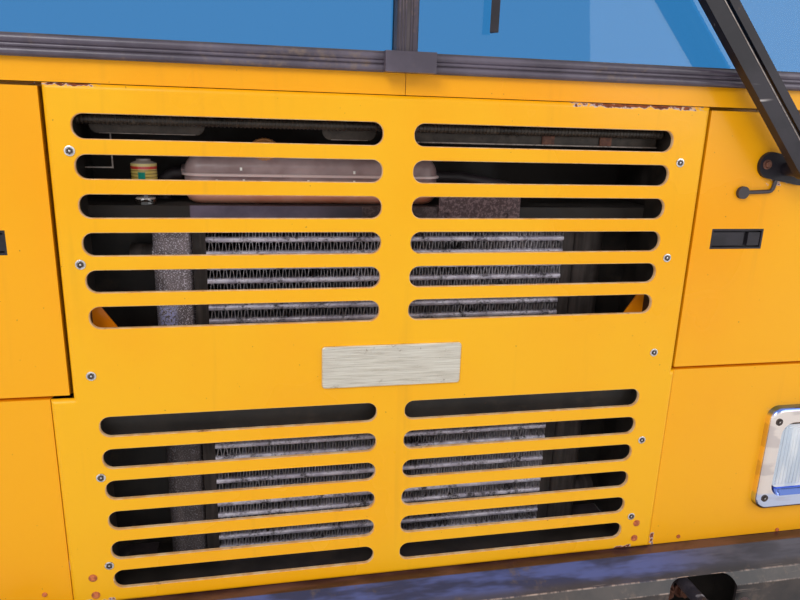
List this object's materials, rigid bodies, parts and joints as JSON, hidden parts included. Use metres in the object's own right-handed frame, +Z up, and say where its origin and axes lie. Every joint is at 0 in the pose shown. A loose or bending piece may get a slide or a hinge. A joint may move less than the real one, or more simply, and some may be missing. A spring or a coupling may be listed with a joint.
{
  "type": "front end section of a flat-front bus",
  "caption": "Front wall of a flat-front bus on its frame rails: slotted grille, hinged access doors, lamps, bumper, windshields and sweeping wipers.",
  "frame": {"origin": "middle of the bolted chassis joint at the rear ends of the two frame rails", "axes": "-Y is the front, +X is to the right as seen from the front, +Z is up"},
  "size_m": [2.61, 0.8638, 2.385],
  "materials": {
    "yellow_paint": "gloss",
    "chassis_black": "satin",
    "bumper_black": "gloss, scuffed",
    "bare_aluminium": "satin",
    "cast_aluminium": "as cast",
    "lamp_chrome": "polished",
    "lamp_glass": "fluted",
    "amber_lens": "gloss",
    "gasket_rubber": "weathered",
    "windshield_glass": "clear",
    "black_plastic": "matte",
    "wiper_black": "satin",
    "tank_plastic": "translucent",
    "cap_orange": "weathered",
    "gauge_clear": "clear",
    "dash_black": "grained"
  },
  "bodies": {
    "root": {"frame_rail_left": "chassis_black", "frame_rail_right": "chassis_black", "bumper_beam": "chassis_black", "radiator_crossmember": "chassis_black", "lower_channel": "chassis_black", "grille_posts": "chassis_black", "corner_posts": "chassis_black", "sill_beam": "chassis_black", "header_beam": "chassis_black", "grille_crossbar": "chassis_black", "inner_bulkheads": "chassis_black", "sill_panel": "yellow_paint", "header_panel": "yellow_paint", "corner_panels": "yellow_paint", "pillar_panels": "yellow_paint", "lamp_panel_left": "yellow_paint", "lamp_panel_right": "yellow_paint", "grille_panel": "yellow_paint", "door_hinges": "yellow_paint", "door_frames": "yellow_paint", "badge_plate": "bare_aluminium", "lamp_bezels": "lamp_chrome", "headlamps": "lamp_glass", "turn_lamps": "amber_lens", "bumper": "bumper_black", "bumper_brackets": "chassis_black", "tow_hooks": "chassis_black", "windshield_gaskets": "gasket_rubber", "windshield_left": "windshield_glass", "windshield_right": "windshield_glass", "centre_post": "gasket_rubber", "post_foot": "black_plastic", "cooler_core": "bare_aluminium", "cooler_tanks": "cast_aluminium", "radiator": "chassis_black", "fan_shroud": "black_plastic", "radiator_baffles": "chassis_black", "tank_shelf": "chassis_black", "surge_tank": "tank_plastic", "surge_cap": "cap_orange", "filter_gauge": "gauge_clear", "coolant_hoses": "gasket_rubber", "air_flaps": "black_plastic", "wiring_loom": "black_plastic", "dash_shelf": "dash_black"},
    "access_door_left": {"access_door_left": "yellow_paint", "door_latch_left": "black_plastic", "wiper_base_left": "wiper_black", "washer_hose_left": "gasket_rubber"},
    "wiper_arm_left": {"wiper_arm_left": "wiper_black"},
    "wiper_link_left": {"wiper_link_left": "wiper_black"},
    "wiper_blade_left": {"wiper_blade_left": "wiper_black"},
    "access_door_right": {"access_door_right": "yellow_paint", "door_latch_right": "black_plastic", "wiper_base_right": "wiper_black", "washer_hose_right": "gasket_rubber"},
    "wiper_arm_right": {"wiper_arm_right": "wiper_black"},
    "wiper_link_right": {"wiper_link_right": "wiper_black"},
    "wiper_blade_right": {"wiper_blade_right": "wiper_black"}
  },
  "joints": [
    {"name": "door_left", "type": "hinge", "parent": "root", "child": "access_door_left", "pos_m": [-1.016, -0.7, 0.751], "axis": [0, 0, -1], "range_deg": [0, 100]},
    {"name": "wiper_left", "type": "hinge", "parent": "access_door_left", "child": "wiper_arm_left", "pos_m": [-0.705, -0.743, 0.889], "axis": [0, 1, 0], "range_deg": [0, 59]},
    {"name": "wiper_link_left", "type": "hinge", "parent": "access_door_left", "child": "wiper_link_left", "pos_m": [-0.667, -0.743, 0.889], "axis": [0, 1, 0], "range_deg": [0, 59]},
    {"name": "wiper_blade_left", "type": "hinge", "parent": "wiper_arm_left", "child": "wiper_blade_left", "pos_m": [-0.95221, -0.743, 1.64985], "axis": [0, 1, 0], "range_deg": [-59, 0]},
    {"name": "door_right", "type": "hinge", "parent": "root", "child": "access_door_right", "pos_m": [1.016, -0.7, 0.751], "axis": [0, 0, 1], "range_deg": [0, 100]},
    {"name": "wiper_right", "type": "hinge", "parent": "access_door_right", "child": "wiper_arm_right", "pos_m": [0.705, -0.743, 0.889], "axis": [0, 1, 0], "range_deg": [0, 59]},
    {"name": "wiper_link_right", "type": "hinge", "parent": "access_door_right", "child": "wiper_link_right", "pos_m": [0.743, -0.743, 0.889], "axis": [0, 1, 0], "range_deg": [0, 59]},
    {"name": "wiper_blade_right", "type": "hinge", "parent": "wiper_arm_right", "child": "wiper_blade_right", "pos_m": [0.18015, -0.743, 1.49277], "axis": [0, 1, 0], "range_deg": [-59, 0]}
  ],
  "couplings": [
    {"joint": "wiper_link_left", "follows": "wiper_left", "ratio": 1},
    {"joint": "wiper_blade_left", "follows": "wiper_left", "ratio": -1},
    {"joint": "wiper_link_right", "follows": "wiper_right", "ratio": 1},
    {"joint": "wiper_blade_right", "follows": "wiper_right", "ratio": -1}
  ]
}
